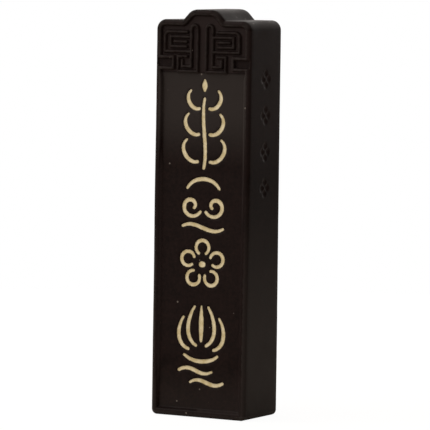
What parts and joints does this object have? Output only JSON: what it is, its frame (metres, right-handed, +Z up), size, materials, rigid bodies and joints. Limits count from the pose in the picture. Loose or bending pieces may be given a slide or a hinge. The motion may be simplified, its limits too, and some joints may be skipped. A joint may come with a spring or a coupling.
{
  "type": "ink stick",
  "caption": "Solid cake of black ink with a raised border, a fret head and gilded ornament, ground on an inkstone with water.",
  "frame": {"origin": "middle of the foot, on the surface the stick stands on", "axes": "+Z up the length of the stick, +Y from the gilded front to the back, +X to the right as seen from the front"},
  "size_m": [0.0274, 0.0178, 0.105],
  "materials": {
    "ink": "moulded and hand rubbed, satin",
    "gilt": "brushed mineral gold paint, satin"
  },
  "bodies": {
    "root": {"ink_bar": "ink", "gilt_blossom_eye": "gilt", "gilt_blossom_petal_1": "gilt", "gilt_blossom_petal_2": "gilt", "gilt_blossom_petal_3": "gilt", "gilt_blossom_petal_4": "gilt", "gilt_blossom_petal_5": "gilt", "gilt_cloud_crest": "gilt", "gilt_cloud_foot": "gilt", "gilt_cloud_scroll_left": "gilt", "gilt_cloud_scroll_right": "gilt", "gilt_lotus_calyx": "gilt", "gilt_lotus_heart": "gilt", "gilt_lotus_inner_petal_left": "gilt", "gilt_lotus_inner_petal_right": "gilt", "gilt_lotus_outer_petal_left": "gilt", "gilt_lotus_outer_petal_right": "gilt", "gilt_ripple_lower": "gilt", "gilt_ripple_upper": "gilt", "gilt_sprig_bud": "gilt", "gilt_sprig_low_leaf_left": "gilt", "gilt_sprig_low_leaf_right": "gilt", "gilt_sprig_mid_leaf_left": "gilt", "gilt_sprig_mid_leaf_right": "gilt", "gilt_sprig_stem": "gilt", "gilt_sprig_top_leaf_left": "gilt", "gilt_sprig_top_leaf_right": "gilt"}
  },
  "joints": []
}
